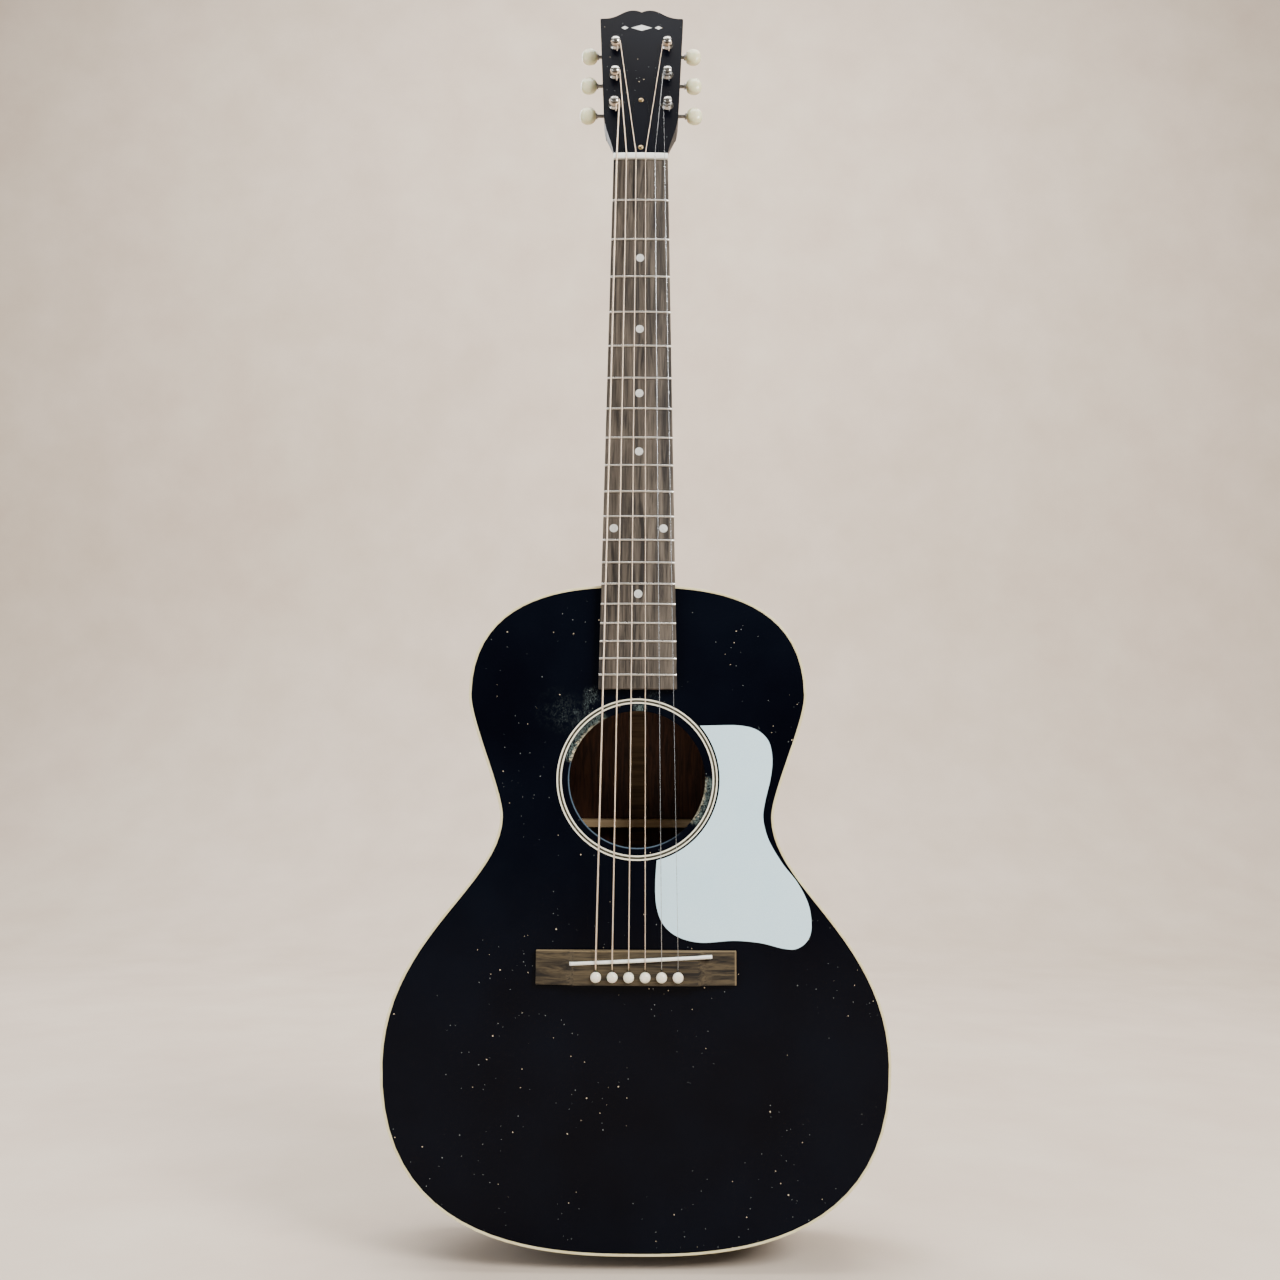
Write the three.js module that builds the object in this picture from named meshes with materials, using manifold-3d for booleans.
// Small-bodied steel-string acoustic guitar, in millimetres.
//
// Everything is laid out with the guitar lying on its back: X towards the treble side, Y from the
// tail to the head, and Z out of the soundboard, whose face is Z = 0. The last group stands it up,
// so that the neck points along +Z and the strings face -Y. Its origin is then the centre of the
// end pin's outer face.

import * as THREE from 'three';
import { mergeVertices } from 'three/addons/utils/BufferGeometryUtils.js';
import Module from 'manifold-3d';

const wasm = await Module();
wasm.setup();

// ---------------------------------------------------------------- driving dimensions

const GAP = 0.3;

// Cutting blocks reach this far past the material, above the face and below the back.
const CLEAR_ABOVE = 20;
const CLEAR_BELOW = -200;

const BODY_LENGTH = 489;
const UPPER_BOUT = { x: 128.9, y: 404.4 };
const WAIST = { x: 102.9, y: 311.4 };
const LOWER_BOUT = { x: 187.3, y: 133.2 };
const HEEL_DEPTH = 86;
const TAIL_DEPTH = 111;
const BACK_RADIUS = 4600;
const CURVE_STEPS = 7;

// How far each curve of the outline is pulled along its end tangents.
const PULL = {
  shoulder: 26, upperBoutUp: 90, upperBoutDown: 21, waistUp: 19, waistDown: 50,
  lowerBoutUp: 90, lowerBoutDown: 133, tail: 56,
};

const TOP_THICKNESS = 2.8;
const BACK_THICKNESS = 2.6;
const SIDE_THICKNESS = 2;
const BINDING_HEIGHT = 5;
const LINING_WIDTH = 5.7;
const LINING_HEIGHT = 13;

const HOLE_Y = 340.3;
const HOLE_RADIUS = 51.5;
const ROSETTE_INNER = 57.1;
const ROSETTE_OUTER = 60.9;
const ROSETTE_DEPTH = 1.5;
const HOLE_SEGMENTS = 16;

const SCALE_LENGTH = 628.65;
const BODY_FRET = 14;
const NUT_FRONT = BODY_LENGTH + SCALE_LENGTH * (1 - 2 ** (-BODY_FRET / 12));
const NUT_THICKNESS = 5;
const NUT_HALF_WIDTH = 22.05;
const BOARD_END = 408;
const BOARD_END_HALF_WIDTH = 29.9;
const BOARD_TOP = 6.6;
const BOARD_RADIUS = 305;

const STRING_RADII = [0.67, 0.53, 0.41, 0.3, 0.2, 0.15];
const STRING_SPREAD_NUT = 38.4;
const STRING_SPREAD_BRIDGE = 60.3;
const STRING_OFFSET_BRIDGE = 0.65;
const NUT_STRING_HEIGHT = 8.2;
const SADDLE_STRING_HEIGHT = 12.2;

const BRIDGE = { halfLength: 74, low: 189.5, high: 214.4, top: 8.3, wingTop: 4.2, blockHalf: 45 };
const PIN_Y = 195.6;
const PIN_SHANK_RADIUS = 2.2;
const PIN_HEAD_RADIUS = 4;
const SADDLE = { bassX: -49, bassY: 205, trebleX: 56, trebleY: 210.5, thickness: 2.6, foot: 5.3, archHalf: 31, endFall: 0.5 };

const HEAD_TILT = THREE.MathUtils.degToRad(17);
const HEAD_ORIGIN = { y: NUT_FRONT + NUT_THICKNESS + 0.7, z: 2 };
const HEAD_THICKNESS = 15;
const HEAD_ROOM = 200;
const VENEER_THICKNESS = 1.6;
const POST_X = 22;
const POST_U = [56.6, 92.3, 128];
const POST_RADIUS = 3.2;
const POST_PLAY = 0.5;
const POST_TOP = 7.5;
const POST_DOME = 1.6;
const WINDING_HEIGHT = 4.4;

const GEAR_TEETH = 14;
const GEAR_RADIUS = 6.25;
const GEAR_THICKNESS = 3;

// A tooth's half widths are shares of half the gear's pitch.
const TOOTH = { height: 1.2, tipHalf: 0.3, footHalf: 0.75 };

const WORM_RADIUS = 2.4;
const WORM_DISTANCE = 9;
const WORM_HEIGHT = -19;
const SHAFT_RADIUS = 1.6;
const PLATE_THICKNESS = 1.2;
const BUTTON = { middle: 45, halfLength: 7, halfWidth: 8.6, halfThickness: 4.6 };

const PIN_FACE = -12;
const PIN_CENTRE_Z = -55;
const END_PIN_SHANK_RADIUS = 4;
const END_PIN = { reach: 18, collar: 6.4, waist: 4, button: 7, face: 6.2 };

const BACK_BRACE_Y = [425, 306, 205, 100];
const X_CROSSING_Y = 262;
const X_HALF_ANGLE = THREE.MathUtils.degToRad(50);

// ---------------------------------------------------------------- materials

function finish(color, roughness, metalness = 0) {
  return new THREE.MeshStandardMaterial({ color, roughness, metalness });
}

const LOOKS = {
  lacquer: finish(0x0b0b0d, 0.2),
  spruce: finish(0xc79a63, 0.7),
  mahogany: finish(0x7a4527, 0.7),
  rosewood: finish(0x4d3a30, 0.55),
  binding: finish(0xe9dfb8, 0.4),
  pickguard: finish(0xf1f1ee, 0.35),
  bone: finish(0xeee9d8, 0.4),
  button: finish(0xe6dfb2, 0.35),
  nickel: finish(0xb9b7b0, 0.3, 1),
  bronze: finish(0xb87742, 0.35, 1),
  steel: finish(0xc4c6c8, 0.3, 1),
  black: finish(0x141414, 0.4),
};

// ---------------------------------------------------------------- solid helpers

function toSolid(geometry) {
  const bare = geometry.index ? geometry.toNonIndexed() : geometry.clone();
  bare.deleteAttribute('normal');
  bare.deleteAttribute('uv');
  const merged = mergeVertices(bare, 1e-4);
  return new wasm.Manifold(new wasm.Mesh({
    numProp: 3,
    vertProperties: new Float32Array(merged.attributes.position.array),
    triVerts: new Uint32Array(properTriangles(merged.index.array)),
  }));
}

// Leaves out the triangles that merging has closed up, such as those at the tip of a turned solid.
function properTriangles(indices) {
  const kept = [];
  for (let i = 0; i < indices.length; i += 3) {
    const [a, b, c] = [indices[i], indices[i + 1], indices[i + 2]];
    if (a !== b && b !== c && c !== a) {
      kept.push(a, b, c);
    }
  }
  return kept;
}

function toGeometry(solid) {
  const mesh = solid.getMesh();
  const geometry = new THREE.BufferGeometry();
  geometry.setAttribute('position', new THREE.BufferAttribute(new Float32Array(mesh.vertProperties), 3));
  geometry.setIndex(new THREE.BufferAttribute(new Uint32Array(mesh.triVerts), 1));
  return geometry;
}

function join(first, ...others) {
  const solid = others.reduce((sum, other) => sum.add(toSolid(other)), toSolid(first));
  return toGeometry(solid);
}

function cut(first, ...tools) {
  const solid = tools.reduce((rest, tool) => rest.subtract(toSolid(tool)), toSolid(first));
  return toGeometry(solid);
}

function common(first, second) {
  return toGeometry(toSolid(first).intersect(toSolid(second)));
}

function block(x0, x1, y0, y1, z0, z1) {
  const box = new THREE.BoxGeometry(x1 - x0, y1 - y0, z1 - z0);
  return box.translate((x0 + x1) / 2, (y0 + y1) / 2, (z0 + z1) / 2);
}

// A straight extrusion of a shape in the XY plane.
function slab(shape, z0, z1, curveSegments = 12) {
  const options = { depth: z1 - z0, bevelEnabled: false, steps: 1, curveSegments };
  return new THREE.ExtrudeGeometry(shape, options).translate(0, 0, z0);
}

function polygon(points) {
  const corners = points.map(([x, y]) => new THREE.Vector2(x, y));
  if (THREE.ShapeUtils.isClockWise(corners)) {
    corners.reverse();
  }
  return new THREE.Shape(corners);
}

// A cylinder along Z.
function rod(radius, x, y, z0, z1, sides = 16) {
  const cylinder = new THREE.CylinderGeometry(radius, radius, z1 - z0, sides);
  return cylinder.rotateX(Math.PI / 2).translate(x, y, (z0 + z1) / 2);
}

// A turned solid about the Z axis, from a profile of [radius, height] pairs that goes round it
// anticlockwise with the axis on the left.
function turned(profile, sides = 16) {
  const points = profile.map(([radius, height]) => new THREE.Vector2(radius, height));
  return new THREE.LatheGeometry(points, sides).rotateX(Math.PI / 2);
}

// Joins rings of equal point counts into a closed solid. The rings run anticlockwise as seen from
// the last ring's side.
function loft(rings) {
  const count = rings[0].length;
  const vertices = rings.flat();
  const indices = [];
  for (let ring = 0; ring + 1 < rings.length; ring += 1) {
    for (let i = 0; i < count; i += 1) {
      const a = ring * count + i;
      const b = ring * count + ((i + 1) % count);
      indices.push(a, b, a + count);
      indices.push(b, b + count, a + count);
    }
  }
  const last = (rings.length - 1) * count;
  for (let i = 1; i + 1 < count; i += 1) {
    indices.push(0, i + 1, i);
    indices.push(last, last + i, last + i + 1);
  }
  const geometry = new THREE.BufferGeometry().setFromPoints(vertices);
  geometry.setIndex(indices);
  return geometry;
}

// Moves the low and high vertices of an extrusion onto two height functions of x and y.
function drape(geometry, lowHeight, highHeight) {
  const position = geometry.attributes.position;
  geometry.computeBoundingBox();
  const middle = (geometry.boundingBox.min.z + geometry.boundingBox.max.z) / 2;
  for (let i = 0; i < position.count; i += 1) {
    const height = position.getZ(i) < middle ? lowHeight : highHeight;
    position.setZ(i, height(position.getX(i), position.getY(i)));
  }
  return geometry;
}

// ---------------------------------------------------------------- body outline and back surface

function handle(x, y) {
  return new THREE.Vector2(x, y);
}

// Four curves from the neck end, round the treble side, to the tail.
const TREBLE_CURVES = [
  [handle(0, BODY_LENGTH), handle(PULL.shoulder, BODY_LENGTH),
    handle(UPPER_BOUT.x, UPPER_BOUT.y + PULL.upperBoutUp), handle(UPPER_BOUT.x, UPPER_BOUT.y)],
  [handle(UPPER_BOUT.x, UPPER_BOUT.y), handle(UPPER_BOUT.x, UPPER_BOUT.y - PULL.upperBoutDown),
    handle(WAIST.x, WAIST.y + PULL.waistUp), handle(WAIST.x, WAIST.y)],
  [handle(WAIST.x, WAIST.y), handle(WAIST.x, WAIST.y - PULL.waistDown),
    handle(LOWER_BOUT.x, LOWER_BOUT.y + PULL.lowerBoutUp), handle(LOWER_BOUT.x, LOWER_BOUT.y)],
  [handle(LOWER_BOUT.x, LOWER_BOUT.y), handle(LOWER_BOUT.x, LOWER_BOUT.y - PULL.lowerBoutDown),
    handle(PULL.tail, 0), handle(0, 0)],
].map((points) => new THREE.CubicBezierCurve(...points));

// Points of one half of the outline, moved inwards by inset, from the neck end to the tail.
function halfOutline(inset) {
  const points = [];
  TREBLE_CURVES.forEach((curve, index) => {
    for (let step = index === 0 ? 0 : 1; step <= CURVE_STEPS; step += 1) {
      const point = curve.getPoint(step / CURVE_STEPS);
      const tangent = curve.getTangent(step / CURVE_STEPS);
      points.push([point.x + tangent.y * inset, point.y - tangent.x * inset]);
    }
  });
  points[0] = [0, BODY_LENGTH - inset];
  points[points.length - 1] = [0, inset];
  return points;
}

function fullOutline(inset) {
  const treble = halfOutline(inset);
  const bass = treble.slice(1, -1).reverse().map(([x, y]) => [-x, y]);
  return [...treble, ...bass];
}

function outlineRing(outerInset, innerInset) {
  const shape = polygon(fullOutline(outerInset));
  shape.holes.push(polygon(fullOutline(innerInset)));
  return shape;
}

// Height of the back's outer surface, which tapers from heel to tail and is part of a sphere.
function backHeight(x, y) {
  const middle = BODY_LENGTH / 2;
  const depth = TAIL_DEPTH + (HEEL_DEPTH - TAIL_DEPTH) * (y / BODY_LENGTH);
  const arch = (middle ** 2 - x ** 2 - (y - middle) ** 2) / (2 * BACK_RADIUS);
  return -depth - arch;
}

function backOffset(offset) {
  return (x, y) => backHeight(x, y) + offset;
}

const INNER_INSET = SIDE_THICKNESS + GAP;
const UNDER_TOP = -TOP_THICKNESS - GAP;
const OVER_BACK = BACK_THICKNESS + GAP;
const BRACE_INSET = INNER_INSET + LINING_WIDTH + GAP;

// The space inside the sides, between the soundboard and the back.
function interior(inset) {
  const solid = slab(polygon(fullOutline(inset)), -1, 0);
  return drape(solid, backOffset(OVER_BACK), () => UNDER_TOP);
}

// ---------------------------------------------------------------- body

function stringX(index, spread) {
  return (index / 5 - 0.5) * spread;
}

function bridgeX(index) {
  return stringX(index, STRING_SPREAD_BRIDGE) + STRING_OFFSET_BRIDGE;
}

// The hole for a bridge pin, with the slot that the string comes up through.
const STRING_SLOT_REACH = PIN_SHANK_RADIUS + 2.4;
const STRING_RAMP_REACH = 6.4;
const STRING_BEND_Z = 5;
const STRING_LEAN = 2.8;

function pinHoles(z0, z1) {
  return STRING_RADII.flatMap((radius, index) => {
    const x = bridgeX(index);
    const half = radius + GAP;
    return [
      rod(PIN_SHANK_RADIUS + GAP, x, PIN_Y, z0, z1, 8),
      block(x - half, x + half, PIN_Y, PIN_Y + STRING_SLOT_REACH, z0, z1),
    ];
  });
}

function soundboard() {
  const shape = polygon(fullOutline(INNER_INSET));
  const hole = new THREE.Path().absarc(0, HOLE_Y, HOLE_RADIUS, 0, 2 * Math.PI, true);
  shape.holes.push(hole);
  const plate = slab(shape, -TOP_THICKNESS, 0, HOLE_SEGMENTS);
  const groove = ring(ROSETTE_INNER - GAP, ROSETTE_OUTER + GAP, -ROSETTE_DEPTH - GAP, CLEAR_ABOVE);
  return cut(plate, groove, ...pinHoles(CLEAR_BELOW, CLEAR_ABOVE));
}

function ring(inner, outer, z0, z1) {
  const shape = new THREE.Shape().absarc(0, HOLE_Y, outer, 0, 2 * Math.PI, false);
  shape.holes.push(new THREE.Path().absarc(0, HOLE_Y, inner, 0, 2 * Math.PI, true));
  return slab(shape, z0, z1, HOLE_SEGMENTS);
}

function rosette() {
  return ring(ROSETTE_INNER, ROSETTE_OUTER, -ROSETTE_DEPTH, 0);
}

// The arched back, from rings of the outline that shrink towards its middle.
function backPlate() {
  const outline = fullOutline(INNER_INSET);
  const scales = [1, 0.7, 0.36];
  const middle = BODY_LENGTH / 2;
  const count = outline.length;
  const vertices = [];
  [0, BACK_THICKNESS].forEach((rise) => {
    scales.forEach((scale) => {
      outline.forEach(([x, y]) => {
        const px = x * scale;
        const py = middle + (y - middle) * scale;
        vertices.push(new THREE.Vector3(px, py, backHeight(px, py) + rise));
      });
    });
    vertices.push(new THREE.Vector3(0, middle, backHeight(0, middle) + rise));
  });
  const layer = scales.length * count + 1;
  const indices = [];
  for (let i = 0; i < count; i += 1) {
    const next = (i + 1) % count;
    for (let side = 0; side < 2; side += 1) {
      const start = side * layer;
      const triangles = [[start + (scales.length - 1) * count + i,
        start + (scales.length - 1) * count + next, start + layer - 1]];
      for (let ringIndex = 0; ringIndex + 1 < scales.length; ringIndex += 1) {
        const a = start + ringIndex * count;
        triangles.push([a + i, a + next, a + count + i]);
        triangles.push([a + next, a + count + next, a + count + i]);
      }
      triangles.forEach(([a, b, c]) => indices.push(...(side === 0 ? [a, b, c] : [a, c, b])));
    }
    indices.push(i, layer + i, next);
    indices.push(next, layer + i, layer + next);
  }
  const geometry = new THREE.BufferGeometry().setFromPoints(vertices);
  geometry.setIndex(indices);
  return geometry;
}

const TENON = { front: BODY_LENGTH + 1, back: 472, frontHalf: 9.5, backHalf: 12.7, top: -5.4, bottom: -78 };

function tenon(clearance) {
  const shape = polygon([
    [-TENON.frontHalf - clearance, TENON.front + clearance],
    [TENON.frontHalf + clearance, TENON.front + clearance],
    [TENON.backHalf + clearance, TENON.back - clearance],
    [-TENON.backHalf - clearance, TENON.back - clearance],
  ]);
  return slab(shape, TENON.bottom - clearance, TENON.top + clearance);
}

function endPinHole() {
  const radius = END_PIN_SHANK_RADIUS + GAP;
  const length = 2 * TAIL_BLOCK.high + 10;
  return new THREE.CylinderGeometry(radius, radius, length, 16).translate(0, 0, PIN_CENTRE_Z);
}

function side(sign) {
  const seam = GAP / 2;
  const keepOff = ([x, y]) => [sign * Math.max(x, seam), y];
  const outer = halfOutline(0).map(keepOff);
  const inner = halfOutline(SIDE_THICKNESS).map(keepOff);
  const strip = slab(polygon([...outer, ...inner.reverse()]), -1, 0);
  drape(strip, backOffset(BINDING_HEIGHT + GAP), () => -BINDING_HEIGHT - GAP);
  const half = TENON.backHalf + 2 * GAP;
  const tenonSlot = block(-half, half, TENON.back, TENON.front + GAP, CLEAR_BELOW, CLEAR_ABOVE);
  return cut(strip, tenonSlot, endPinHole());
}

const NECK_BLOCK = { half: 30, low: 457 };
const TAIL_BLOCK = { half: 36, high: 21 };

function neckBlock() {
  const wood = block(-NECK_BLOCK.half, NECK_BLOCK.half, NECK_BLOCK.low, BODY_LENGTH, CLEAR_BELOW, 0);
  return cut(common(wood, interior(INNER_INSET)), tenon(GAP));
}

// The linings run past the tail block in two notches.
function tailBlock() {
  const wood = block(-TAIL_BLOCK.half, TAIL_BLOCK.half, 0, TAIL_BLOCK.high, CLEAR_BELOW, 0);
  const body = common(wood, interior(INNER_INSET));
  const reach = slab(outlineRing(0, INNER_INSET + LINING_WIDTH + GAP), -1, 0);
  const topNotch = drape(reach.clone(), () => UNDER_TOP - LINING_HEIGHT - GAP, () => 0);
  const backNotch = drape(reach, () => CLEAR_BELOW, backOffset(OVER_BACK + LINING_HEIGHT + GAP));
  return cut(body, topNotch, backNotch, endPinHole());
}

const neckBlockRoom = () => block(
  -NECK_BLOCK.half - GAP, NECK_BLOCK.half + GAP, NECK_BLOCK.low - GAP, BODY_LENGTH, CLEAR_BELOW, CLEAR_ABOVE);

function topLining() {
  const strip = slab(outlineRing(INNER_INSET, INNER_INSET + LINING_WIDTH), -1, 0);
  drape(strip, () => UNDER_TOP - LINING_HEIGHT, () => UNDER_TOP);
  return cut(strip, neckBlockRoom());
}

function backLining() {
  const strip = slab(outlineRing(INNER_INSET, INNER_INSET + LINING_WIDTH), -1, 0);
  drape(strip, backOffset(OVER_BACK), backOffset(OVER_BACK + LINING_HEIGHT));
  return cut(strip, neckBlockRoom());
}

function topBinding() {
  return slab(outlineRing(0, SIDE_THICKNESS), -BINDING_HEIGHT, 0);
}

function backBinding() {
  const strip = slab(outlineRing(0, SIDE_THICKNESS), -1, 0);
  return drape(strip, backOffset(0), backOffset(BINDING_HEIGHT));
}

// ---------------------------------------------------------------- braces

const X_BRACE = { width: 8, height: 14, reach: 300 };
const UPPER_BRACE = { low: 407, high: 417, height: 15 };
const BACK_BRACE = { footHalf: 4, topHalf: 3, height: 13 };

function xLeg(sign, halfWidth) {
  const { height, reach } = X_BRACE;
  const leg = block(-halfWidth, halfWidth, -reach, reach, UNDER_TOP - height, UNDER_TOP);
  return leg.rotateZ(sign * X_HALF_ANGLE).translate(0, X_CROSSING_Y, 0);
}

function xBrace() {
  const cross = join(xLeg(1, X_BRACE.width / 2), xLeg(-1, X_BRACE.width / 2));
  return common(cross, interior(BRACE_INSET));
}

function upperBrace() {
  const { low, high, height } = UPPER_BRACE;
  const bar = block(-UPPER_BOUT.x, UPPER_BOUT.x, low, high, UNDER_TOP - height, UNDER_TOP);
  return cut(common(bar, interior(BRACE_INSET)), xLeg(1, X_BRACE.width / 2 + GAP),
    xLeg(-1, X_BRACE.width / 2 + GAP));
}

// A bar across the back, which follows its arch.
function backBrace(y) {
  const halfLength = LOWER_BOUT.x;
  const steps = 10;
  const stations = Array.from({ length: steps + 1 }, (_, i) => -halfLength + (2 * halfLength * i) / steps);
  const corner = (x, offset, rise) => (
    new THREE.Vector3(x, y + offset, backHeight(x, y + offset) + OVER_BACK + rise));
  const { footHalf, topHalf, height } = BACK_BRACE;
  const rings = stations.map((x) => [corner(x, -footHalf, 0), corner(x, footHalf, 0),
    corner(x, topHalf, height), corner(x, -topHalf, height)]);
  return common(loft(rings), interior(BRACE_INSET));
}

const BRIDGE_PLATE = { low: 182, high: 222, lowHalf: 66, highHalf: 36, thickness: 2.5 };

function bridgePlate() {
  const shape = polygon([
    [-BRIDGE_PLATE.lowHalf, BRIDGE_PLATE.low],
    [BRIDGE_PLATE.lowHalf, BRIDGE_PLATE.low],
    [BRIDGE_PLATE.highHalf, BRIDGE_PLATE.high],
    [-BRIDGE_PLATE.highHalf, BRIDGE_PLATE.high],
  ]);
  const plate = slab(shape, UNDER_TOP - BRIDGE_PLATE.thickness, UNDER_TOP);
  return cut(plate, ...pinHoles(CLEAR_BELOW, CLEAR_ABOVE));
}

// ---------------------------------------------------------------- pickguard, bridge and pins

const PICKGUARD_ARC = ROSETTE_OUTER + 1.4;
const PICKGUARD_THICKNESS = 1;
const PICKGUARD_START_X = 47.5;
const PICKGUARD_END_X = 15;
const PICKGUARD_EDGE = [
  [61, 381], [77, 381], [90, 378], [99, 370], [102, 358], [101, 343], [96, 322], [95, 310],
  [99, 295], [109, 278], [120, 264], [128, 248], [130, 232], [127, 222], [119, 216], [109, 216],
  [92, 220], [72, 221.5], [48, 220], [31, 224], [20, 233], [15, 246], [14, 262],
];

// A point on the arc that follows the rosette, at a given distance from the centre line.
function onPickguardArc(x, sign) {
  return [x, HOLE_Y + sign * Math.sqrt(PICKGUARD_ARC ** 2 - x ** 2)];
}

function pickguard() {
  const start = onPickguardArc(PICKGUARD_START_X, 1);
  const end = onPickguardArc(PICKGUARD_END_X, -1);
  const shape = new THREE.Shape();
  shape.moveTo(...start);
  shape.splineThru([...PICKGUARD_EDGE, end].map(([x, y]) => new THREE.Vector2(x, y)));
  const angle = ([x, y]) => Math.atan2(y - HOLE_Y, x);
  shape.absarc(0, HOLE_Y, PICKGUARD_ARC, angle(end), angle(start), false);
  return slab(shape, GAP, GAP + PICKGUARD_THICKNESS, 2);
}

function bridge() {
  const { halfLength, blockHalf, top, wingTop } = BRIDGE;
  const wingTip = wingTop - 0.6;
  const scoop = [[12, 0], [7, 0.9], [3, 3]].map(([x, rise]) => [blockHalf + x, wingTop + rise]);
  const half = [[halfLength, 0], [halfLength, wingTip], ...scoop, [blockHalf, top]];
  const profile = [...half, ...half.map(([x, z]) => [-x, z]).reverse()];
  const depth = BRIDGE.high - BRIDGE.low;
  const wood = slab(polygon(profile), 0, depth).rotateX(Math.PI / 2).translate(0, BRIDGE.high, GAP);
  return cut(wood, saddleBlank(GAP), ...stringRamps(), ...pinHoles(CLEAR_BELOW, CLEAR_ABOVE));
}

// The slots that let the strings lean forwards from the pin holes to the saddle.
function stringRamps() {
  return STRING_RADII.map((radius, index) => {
    const half = radius + GAP;
    const x = bridgeX(index);
    return block(x - half, x + half, PIN_Y, PIN_Y + STRING_RAMP_REACH, STRING_BEND_Z - 1, CLEAR_ABOVE);
  });
}

const SADDLE_LENGTH = Math.hypot(SADDLE.trebleX - SADDLE.bassX, SADDLE.trebleY - SADDLE.bassY);
const SADDLE_ANGLE = Math.atan2(SADDLE.trebleY - SADDLE.bassY, SADDLE.trebleX - SADDLE.bassX);

function placeSaddle(geometry) {
  const x = (SADDLE.bassX + SADDLE.trebleX) / 2;
  const y = (SADDLE.bassY + SADDLE.trebleY) / 2;
  return geometry.rotateZ(SADDLE_ANGLE).translate(x, y, 0);
}

function saddleBlank(clearance) {
  const half = SADDLE_LENGTH / 2 + clearance;
  const thick = SADDLE.thickness / 2 + clearance;
  return placeSaddle(block(-half, half, -thick, thick, SADDLE.foot - clearance, CLEAR_ABOVE));
}

// Where a string bends over the back edge of the slanted saddle.
function saddleY(x) {
  return SADDLE.bassY + (x - SADDLE.bassX) * Math.tan(SADDLE_ANGLE) - SADDLE.thickness / 2 - GAP;
}

// The strings lie on an arc that matches the fretboard's crown.
function crown(x) {
  return -(x ** 2) / (2 * BOARD_RADIUS);
}

// The saddle's top is arched under the strings, and falls gently outside them.
function saddleTop(x) {
  const across = x + (SADDLE.bassX + SADDLE.trebleX) / 2;
  const past = Math.max(0, Math.abs(across) - SADDLE.archHalf);
  const arch = crown(Math.min(Math.abs(across), SADDLE.archHalf));
  return SADDLE_STRING_HEIGHT - GAP + arch - (SADDLE.endFall * past) / (SADDLE_LENGTH / 2 - SADDLE.archHalf);
}

function saddle() {
  const half = SADDLE_LENGTH / 2;
  const topPoints = [];
  for (let i = 0; i <= 10; i += 1) {
    const x = half * (1 - i / 5);
    topPoints.push([x, saddleTop(x)]);
  }
  const profile = polygon([[-half, SADDLE.foot], [half, SADDLE.foot], ...topPoints]);
  const strip = slab(profile, -SADDLE.thickness / 2, SADDLE.thickness / 2).rotateX(Math.PI / 2);
  return placeSaddle(strip);
}

// A tapered shank below a domed head.
function bridgePin(index) {
  const seat = BRIDGE.top + 2 * GAP;
  const tip = -13;
  const dome = [[0.4, 0], [0, 1], [0.8, 2.7], [PIN_HEAD_RADIUS, 4]]
    .map(([inset, rise]) => [PIN_HEAD_RADIUS - inset, seat + rise]);
  const profile = [[0, tip], [PIN_SHANK_RADIUS - 0.4, tip + 0.5], [PIN_SHANK_RADIUS, seat], ...dome];
  return turned(profile, 10).translate(bridgeX(index), PIN_Y, 0);
}

// A tapered shank, then a collar, a waist for the strap, and a wide button.
function endPin() {
  const { reach, collar, waist, button, face } = END_PIN;
  const profile = [[0, -reach], [END_PIN_SHANK_RADIUS - 0.6, -reach], [END_PIN_SHANK_RADIUS, GAP],
    [collar - 0.4, GAP], [collar, 1.6], [waist, 4], [waist + 0.2, 6.5], [button, 10.5],
    [face, -PIN_FACE], [0, -PIN_FACE]];
  return turned(profile, 12).rotateX(Math.PI / 2).translate(0, 0, PIN_CENTRE_Z);
}

// ---------------------------------------------------------------- neck and fretboard

const { lerp } = THREE.MathUtils;

function boardHalfWidth(y) {
  return lerp(BOARD_END_HALF_WIDTH, NUT_HALF_WIDTH, (y - BOARD_END) / (NUT_FRONT - BOARD_END));
}

function fretboard() {
  const steps = 8;
  const rings = [BOARD_END, NUT_FRONT - GAP].map((y) => {
    const half = boardHalfWidth(y);
    const top = Array.from({ length: steps + 1 }, (_, i) => {
      const x = half * ((2 * i) / steps - 1);
      return new THREE.Vector3(x, y, BOARD_TOP + crown(x));
    });
    return [new THREE.Vector3(half, y, GAP), new THREE.Vector3(-half, y, GAP), ...top];
  });
  return loft(rings);
}

// Places a shape drawn in the headstock's own frame: x across, y up the face, z out of the face.
const HEAD_MATRIX = new THREE.Matrix4()
  .makeRotationX(-HEAD_TILT)
  .setPosition(0, HEAD_ORIGIN.y, HEAD_ORIGIN.z);

function onHead(geometry) {
  return geometry.applyMatrix4(HEAD_MATRIX);
}

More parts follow.
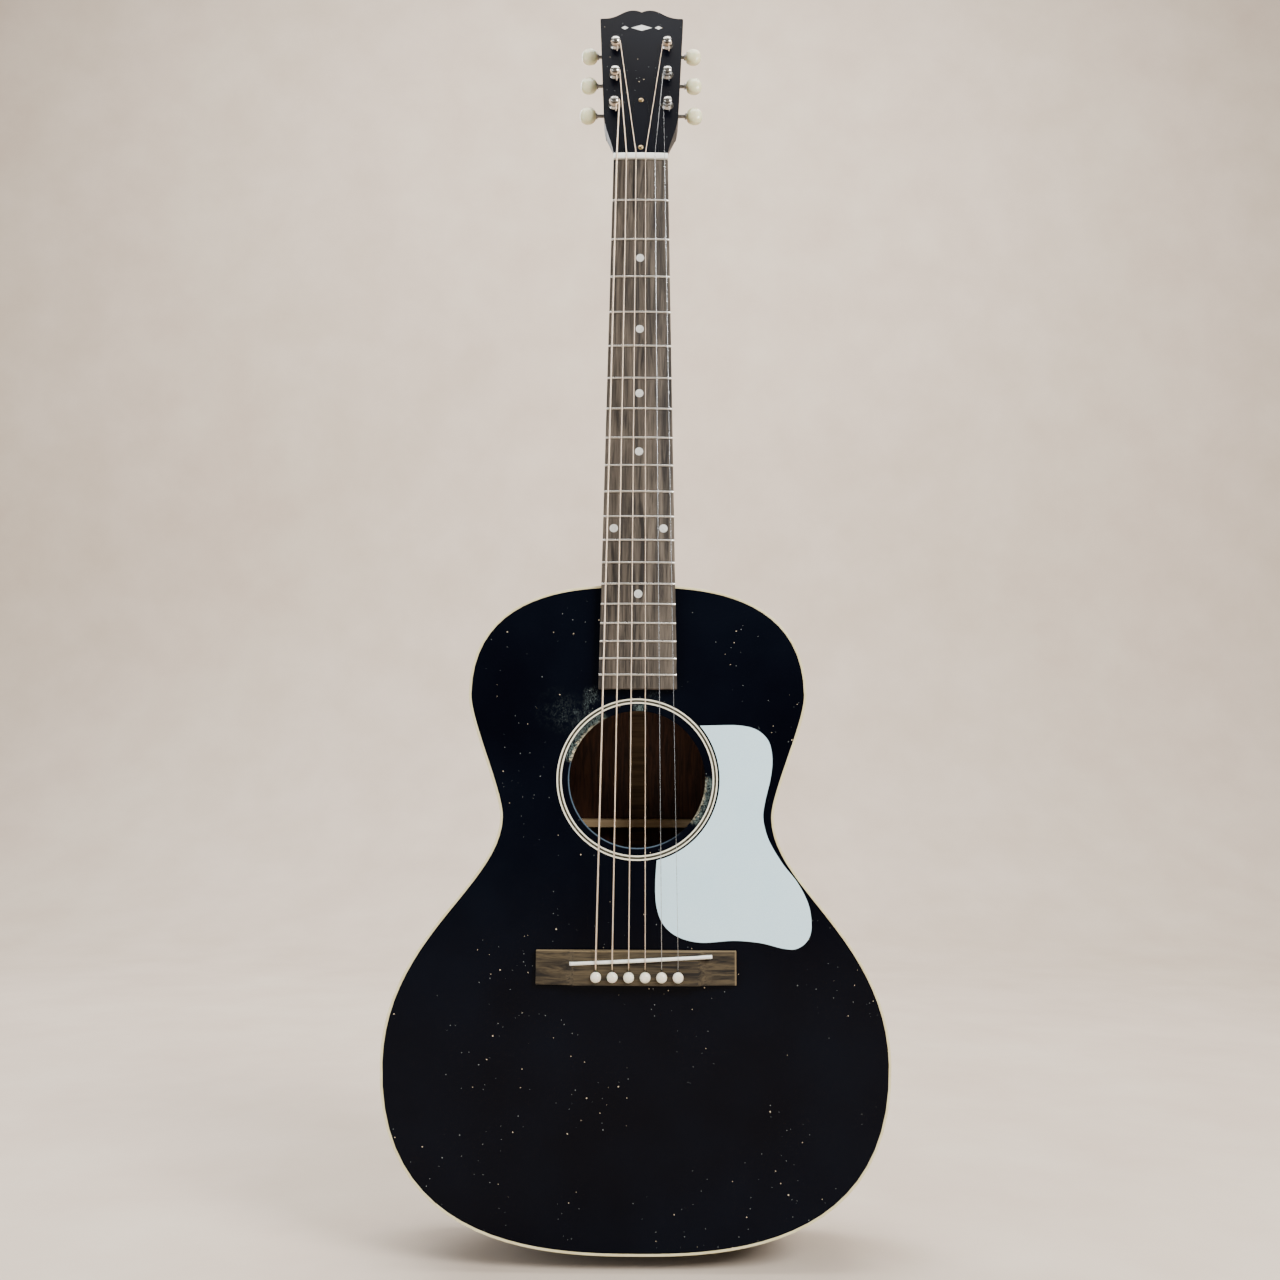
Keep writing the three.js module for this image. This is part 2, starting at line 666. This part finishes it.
function headOutline() {
  const shape = new THREE.Shape();
  shape.moveTo(-NUT_HALF_WIDTH, 0);
  shape.lineTo(NUT_HALF_WIDTH, 0);
  shape.bezierCurveTo(22.6, 14, 29.5, 26, 30.9, 45);
  shape.lineTo(36, 160);
  shape.quadraticCurveTo(36, 161.5, 34.5, 161.5);
  shape.lineTo(31, 161.5);
  shape.bezierCurveTo(25, 161.8, 22, 164, 19, 168);
  shape.bezierCurveTo(16, 171.5, 11, 172.2, 7.2, 172);
  shape.bezierCurveTo(4, 171.8, 1.5, 170.8, 0, 169.8);
  shape.bezierCurveTo(-1.5, 170.8, -4, 171.8, -7.2, 172);
  shape.bezierCurveTo(-11, 172.2, -16, 171.5, -19, 168);
  shape.bezierCurveTo(-22, 164, -25, 161.8, -31, 161.5);
  shape.lineTo(-34.5, 161.5);
  shape.quadraticCurveTo(-36, 161.5, -36, 160);
  shape.lineTo(-30.9, 45);
  shape.bezierCurveTo(-29.5, 26, -22.6, 14, -NUT_HALF_WIDTH, 0);
  return shape;
}

function postHoles(z0, z1) {
  const places = POST_U.flatMap((u) => [[-POST_X, u], [POST_X, u]]);
  return places.map(([x, u]) => rod(POST_RADIUS + POST_PLAY, x, u, z0, z1, 12));
}

const NECK_DEPTH_NUT = 15.5;
const NECK_DEPTH_HEEL = 19;
const HEEL_LENGTH = 62;
const HEEL_ROOT = BODY_LENGTH + GAP;
const HEEL_SWEEP = 2.4;
const HEEL_OVERRUN = 6;
const NECK_ROUNDNESS = 0.86;
const HEEL_ROUNDNESS = 1.16;
const HEEL_CAP_RISE = 0.4;
const SCARF_OVERRUN = 19;

function neckSection(y, halfWidth, depth, roundness) {
  const steps = 12;
  const lowest = -HEEL_DEPTH + HEEL_CAP_RISE;
  return Array.from({ length: steps + 1 }, (_, i) => {
    const angle = (Math.PI * i) / steps;
    const across = Math.sign(Math.cos(angle)) * Math.abs(Math.cos(angle)) ** roundness;
    const down = Math.sin(angle) ** roundness;
    return new THREE.Vector3(halfWidth * across, y, Math.max(-depth * down, lowest));
  });
}

function neck() {
  const heelSteps = 9;
  const shaftSteps = 5;
  const shaftEnd = NUT_FRONT + SCARF_OVERRUN;
  const shaftStart = HEEL_ROOT + HEEL_LENGTH;
  const rings = [];
  for (let i = 0; i < heelSteps; i += 1) {
    const t = i / heelSteps;
    const y = HEEL_ROOT + HEEL_LENGTH * t;
    const sweep = (1 - t) ** HEEL_SWEEP;
    const depth = lerp(NECK_DEPTH_HEEL, HEEL_DEPTH + HEEL_OVERRUN, sweep);
    rings.push(neckSection(y, boardHalfWidth(y), depth, lerp(NECK_ROUNDNESS, HEEL_ROUNDNESS, sweep)));
  }
  for (let i = 0; i <= shaftSteps; i += 1) {
    const t = i / shaftSteps;
    const y = lerp(shaftStart, shaftEnd, t);
    const halfWidth = Math.max(boardHalfWidth(y), NUT_HALF_WIDTH);
    rings.push(neckSection(y, halfWidth, lerp(NECK_DEPTH_HEEL, NECK_DEPTH_NUT, t), NECK_ROUNDNESS));
  }
  const shaft = loft(rings);
  const face = -VENEER_THICKNESS - GAP;
  const head = onHead(slab(headOutline(), -HEAD_THICKNESS, face, 3));
  const aboveFace = onHead(block(-HEAD_ROOM, HEAD_ROOM, 0, HEAD_ROOM, face, HEAD_ROOM));
  const wood = cut(join(shaft, head, tenon(0)), aboveFace);
  const holes = postHoles(CLEAR_BELOW, CLEAR_ABOVE).map(onHead);
  return cut(wood, rodChannel(), rodPocket(), ...holes);
}

// ---------------------------------------------------------------- truss rod and headstock

const ROD = { start: 494, end: 849, z: -6, radius: 2.4, nutLength: 8, nutRadius: 3.8 };
const ROD_POCKET = { half: 5, low: 1.2, high: 30, floor: -11 };

function rodChannel() {
  const half = ROD.radius + 2 * GAP;
  return block(-half, half, ROD.start - 2, ROD.end + 2, ROD.z - ROD.radius - 1, CLEAR_ABOVE);
}

function rodPocket() {
  const { half, low, high, floor } = ROD_POCKET;
  return onHead(block(-half, half, low, high, floor, CLEAR_ABOVE));
}

function trussRod() {
  const bar = rod(ROD.radius, 0, 0, ROD.start, ROD.end, 12);
  const hexNut = rod(ROD.nutRadius, 0, 0, ROD.end - 1, ROD.end + ROD.nutLength - 1, 6);
  return join(bar, hexNut).rotateX(-Math.PI / 2).translate(0, 0, ROD.z);
}

// The nut's top follows the strings' arc, and falls a little towards the headstock.
function nut() {
  const steps = 6;
  const frontRise = 0.8;
  const backRise = 0.2;
  const rings = [[NUT_FRONT, frontRise], [NUT_FRONT + NUT_THICKNESS, backRise]].map(([y, rise]) => {
    const top = Array.from({ length: steps + 1 }, (_, i) => {
      const x = NUT_HALF_WIDTH * ((2 * i) / steps - 1);
      return new THREE.Vector3(x, y, NUT_STRING_HEIGHT + rise + crown(x));
    });
    return [new THREE.Vector3(NUT_HALF_WIDTH, y, GAP), new THREE.Vector3(-NUT_HALF_WIDTH, y, GAP), ...top];
  });
  const slots = STRING_RADII.map((radius, index) => {
    const x = stringX(index, STRING_SPREAD_NUT);
    const half = radius + GAP;
    const floor = NUT_STRING_HEIGHT + crown(x) - GAP;
    return block(x - half, x + half, NUT_FRONT - 1, NUT_FRONT + NUT_THICKNESS + 1, floor, CLEAR_ABOVE);
  });
  return cut(loft(rings), ...slots);
}

function headVeneer() {
  const sheet = onHead(slab(headOutline(), -VENEER_THICKNESS, 0, 3));
  return cut(sheet, rodPocket(), ...postHoles(CLEAR_BELOW, CLEAR_ABOVE).map(onHead));
}

const COVER_THICKNESS = 1.8;

// The bell-shaped cover over the truss rod's pocket.
function rodCover() {
  const shape = new THREE.Shape();
  shape.moveTo(-14, 1.5);
  shape.lineTo(14, 1.5);
  shape.bezierCurveTo(15.5, 12, 9.5, 16, 8, 30);
  shape.bezierCurveTo(7, 42, 6.5, 50, 5, 61);
  shape.bezierCurveTo(3.5, 66.5, -3.5, 66.5, -5, 61);
  shape.bezierCurveTo(-6.5, 50, -7, 42, -8, 30);
  shape.bezierCurveTo(-9.5, 16, -15.5, 12, -14, 1.5);
  return slab(shape, GAP, GAP + COVER_THICKNESS, 5);
}

// ---------------------------------------------------------------- tuning machines

const PLATE = { inner: 12.5, outer: 30.5, low: 46, high: 150, top: -HEAD_THICKNESS - GAP };
const PLATE_UNDER = PLATE.top - PLATE_THICKNESS;
const EAR = { innerX: 15.2, outerX: 27.6, thickness: 1.2, half: 3.4, foot: -22 };

// A cylinder along X.
function crossRod(radius, x0, x1, u, z, sides = 8) {
  return rod(radius, 0, 0, x0, x1, sides).rotateY(Math.PI / 2).translate(0, u, z);
}

function tunerPlate(sign) {
  const base = block(PLATE.inner, PLATE.outer, PLATE.low, PLATE.high, PLATE_UNDER, PLATE.top);
  const ears = POST_U.flatMap((u) => [EAR.innerX, EAR.outerX].map((x) => {
    const middle = u + WORM_DISTANCE;
    return block(x, x + EAR.thickness, middle - EAR.half, middle + EAR.half, EAR.foot, PLATE_UNDER + GAP);
  }));
  const bores = POST_U.map((u) => (
    crossRod(SHAFT_RADIUS + GAP, PLATE.inner, PLATE.outer, u + WORM_DISTANCE, WORM_HEIGHT)));
  const holes = POST_U.map((u) => rod(POST_RADIUS + POST_PLAY, POST_X, u, CLEAR_BELOW, 0, 12));
  const plate = cut(join(base, ...ears), ...bores, ...holes);
  return sign > 0 ? plate : mirrored(plate);
}

// The same solid on the other side of the centre line, with its faces still pointing out.
function mirrored(geometry) {
  const copy = geometry.clone().scale(-1, 1, 1);
  const index = copy.index;
  for (let i = 0; i < index.count; i += 3) {
    const first = index.getX(i);
    index.setX(i, index.getX(i + 1));
    index.setX(i + 1, first);
  }
  return copy;
}

function gearOutline() {
  const points = [];
  for (let tooth = 0; tooth < GEAR_TEETH; tooth += 1) {
    const middle = (2 * Math.PI * tooth) / GEAR_TEETH;
    const pitch = Math.PI / GEAR_TEETH;
    const corners = [[-TOOTH.footHalf, GEAR_RADIUS - TOOTH.height], [-TOOTH.tipHalf, GEAR_RADIUS],
      [TOOTH.tipHalf, GEAR_RADIUS], [TOOTH.footHalf, GEAR_RADIUS - TOOTH.height]];
    corners.forEach(([part, radius]) => {
      const angle = middle + part * pitch;
      points.push([radius * Math.cos(angle), radius * Math.sin(angle)]);
    });
  }
  return polygon(points);
}

// Post and gear wheel, about their own axis.
function postGear() {
  const low = WORM_HEIGHT - GEAR_THICKNESS / 2;
  const foot = low - 0.6;
  const post = turned([[0, foot], [POST_RADIUS, foot], [POST_RADIUS, POST_TOP - POST_DOME],
    [POST_RADIUS - 1.1, POST_TOP], [0, POST_TOP]], 12);
  return join(post, slab(gearOutline(), low, low + GEAR_THICKNESS));
}

// Where the shaft's parts lie, measured from the centre line.
const SHAFT = {
  tip: 14.2, wormStart: 17, wormEnd: 27, collarStart: 29.4, collarEnd: 31.2, end: BUTTON.middle - 3,
};

// Worm and shaft, about their own axis along X, for the treble side.
function wormShaft() {
  const { tip, wormStart, wormEnd, collarStart, collarEnd, end } = SHAFT;
  const profile = [[0, tip], [SHAFT_RADIUS, tip], [SHAFT_RADIUS, wormStart], [WORM_RADIUS, wormStart + 0.2],
    [WORM_RADIUS, wormEnd - 0.2], [SHAFT_RADIUS, wormEnd], [SHAFT_RADIUS, collarStart],
    [WORM_RADIUS, collarStart + 0.1], [WORM_RADIUS, collarEnd - 0.2], [SHAFT_RADIUS, collarEnd],
    [SHAFT_RADIUS, end], [0, end]];
  return turned(profile, 8).rotateY(Math.PI / 2);
}

function tunerButton() {
  const oval = new THREE.SphereGeometry(1, 10, 7).rotateZ(Math.PI / 2);
  oval.scale(BUTTON.halfLength, BUTTON.halfWidth, BUTTON.halfThickness);
  oval.translate(BUTTON.middle, 0, 0);
  return cut(oval, crossRod(SHAFT_RADIUS + GAP, PLATE.outer, SHAFT.end + GAP, 0, 0));
}

// ---------------------------------------------------------------- strings

const STRING_FOOT = -9;
const STRING_CLEARANCE = 0.8;
const THIN_STRING = 0.4;

// A route of straight legs, with one extrusion step for each leg.
class StringRoute extends THREE.Curve {
  constructor(points) {
    super();
    this.points = points;
    this.legs = points.length - 1;
  }

  getPointAt(u) {
    return this.points[Math.round(u * this.legs)].clone();
  }

  getTangentAt(u) {
    const i = Math.round(u * this.legs);
    const before = this.points[Math.max(i, 1)].clone().sub(this.points[Math.max(i, 1) - 1]).normalize();
    const j = Math.min(i, this.legs - 1);
    const after = this.points[j + 1].clone().sub(this.points[j]).normalize();
    return before.add(after).normalize();
  }
}

// The nearest post to the nut takes the outermost string of its side.
function stringPost(index) {
  const fromEdge = Math.min(index, 5 - index);
  return { x: index < 3 ? -POST_X : POST_X, u: POST_U[fromEdge] };
}

function string(index) {
  const radius = STRING_RADII[index];
  const bx = bridgeX(index);
  const nx = stringX(index, STRING_SPREAD_NUT);
  const rise = PIN_Y + PIN_SHANK_RADIUS + GAP + radius;
  const nutZ = NUT_STRING_HEIGHT + crown(nx) + radius;
  const post = stringPost(index);
  const inward = -Math.sign(post.x);
  const windingInner = POST_RADIUS + GAP;
  const windingOuter = windingInner + 2 * radius;
  const toPost = new THREE.Vector3(post.x + inward * (windingInner + radius), post.u, WINDING_HEIGHT);
  const points = [
    new THREE.Vector3(bx, rise, STRING_FOOT),
    new THREE.Vector3(bx, rise, STRING_BEND_Z),
    new THREE.Vector3(bx, rise + STRING_LEAN, BRIDGE.top + radius + STRING_CLEARANCE),
    new THREE.Vector3(bx, saddleY(bx), SADDLE_STRING_HEIGHT + crown(bx) + radius),
    new THREE.Vector3(nx, NUT_FRONT, nutZ),
    new THREE.Vector3(nx, NUT_FRONT + NUT_THICKNESS, nutZ),
    toPost.applyMatrix4(HEAD_MATRIX),
  ];
  const section = new THREE.Shape().absarc(0, 0, radius, 0, 2 * Math.PI, false);
  const route = new StringRoute(points);
  const wire = new THREE.ExtrudeGeometry(section, {
    steps: route.legs, curveSegments: 4, bevelEnabled: false, extrudePath: route,
  });
  const half = 2 * Math.max(radius, THIN_STRING);
  const winding = turned([[windingInner, WINDING_HEIGHT - half], [windingOuter, WINDING_HEIGHT - half],
    [windingOuter, WINDING_HEIGHT + half], [windingInner, WINDING_HEIGHT + half],
    [windingInner, WINDING_HEIGHT - half]], 12);
  return join(wire, onHead(winding.translate(post.x, post.u, 0)));
}

// ---------------------------------------------------------------- assembly

const lying = new THREE.Group();
const headstock = new THREE.Group();
headstock.position.set(0, HEAD_ORIGIN.y, HEAD_ORIGIN.z);
headstock.rotation.x = -HEAD_TILT;
lying.add(headstock);

function place(parent, name, geometry, look, position = [0, 0, 0]) {
  const mesh = new THREE.Mesh(geometry, look.clone());
  mesh.name = name;
  mesh.position.set(...position);
  parent.add(mesh);
  return mesh;
}

place(lying, 'soundboard', soundboard(), LOOKS.lacquer);
place(lying, 'back_plate', backPlate(), LOOKS.lacquer);
place(lying, 'side_bass', side(-1), LOOKS.lacquer);
place(lying, 'side_treble', side(1), LOOKS.lacquer);
place(lying, 'neck_block', neckBlock(), LOOKS.mahogany);
place(lying, 'tail_block', tailBlock(), LOOKS.mahogany);
place(lying, 'top_lining', topLining(), LOOKS.mahogany);
place(lying, 'back_lining', backLining(), LOOKS.mahogany);
place(lying, 'x_brace', xBrace(), LOOKS.spruce);
place(lying, 'upper_brace', upperBrace(), LOOKS.spruce);
BACK_BRACE_Y.forEach((y, i) => place(lying, `back_brace_${i + 1}`, backBrace(y), LOOKS.spruce));
place(lying, 'bridge_plate', bridgePlate(), LOOKS.spruce);
place(lying, 'binding_top', topBinding(), LOOKS.binding);
place(lying, 'binding_back', backBinding(), LOOKS.binding);
place(lying, 'rosette', rosette(), LOOKS.binding);
place(lying, 'pickguard', pickguard(), LOOKS.pickguard);
place(lying, 'bridge', bridge(), LOOKS.rosewood);
place(lying, 'saddle', saddle(), LOOKS.bone);
place(lying, 'end_pin', endPin(), LOOKS.button);
place(lying, 'neck', neck(), LOOKS.lacquer);
place(lying, 'fretboard', fretboard(), LOOKS.rosewood);
place(lying, 'nut', nut(), LOOKS.bone);
place(lying, 'truss_rod', trussRod(), LOOKS.steel);
place(lying, 'headstock_veneer', headVeneer(), LOOKS.lacquer);
place(headstock, 'truss_rod_cover', rodCover(), LOOKS.black);
place(headstock, 'tuner_plate_bass', tunerPlate(-1), LOOKS.nickel);
place(headstock, 'tuner_plate_treble', tunerPlate(1), LOOKS.nickel);

STRING_RADII.forEach((_, index) => {
  const number = 6 - index;
  const metal = index < 4 ? LOOKS.bronze : LOOKS.steel;
  const post = stringPost(index);
  const treble = post.x > 0;
  const shaft = treble ? wormShaft() : mirrored(wormShaft());
  const button = treble ? tunerButton() : mirrored(tunerButton());
  const shaftPlace = [0, post.u + WORM_DISTANCE, WORM_HEIGHT];
  place(lying, `string_${number}`, string(index), metal);
  place(lying, `bridge_pin_${number}`, bridgePin(index), LOOKS.bone);
  place(headstock, `post_gear_${number}`, postGear(), LOOKS.nickel, [post.x, post.u, 0]);
  place(headstock, `worm_shaft_${number}`, shaft, LOOKS.nickel, shaftPlace);
  place(headstock, `tuner_button_${number}`, button, LOOKS.button, shaftPlace);
});

const guitar = new THREE.Group();
lying.position.set(0, PIN_CENTRE_Z, -PIN_FACE);
lying.rotation.x = Math.PI / 2;
guitar.add(lying);

export default guitar;
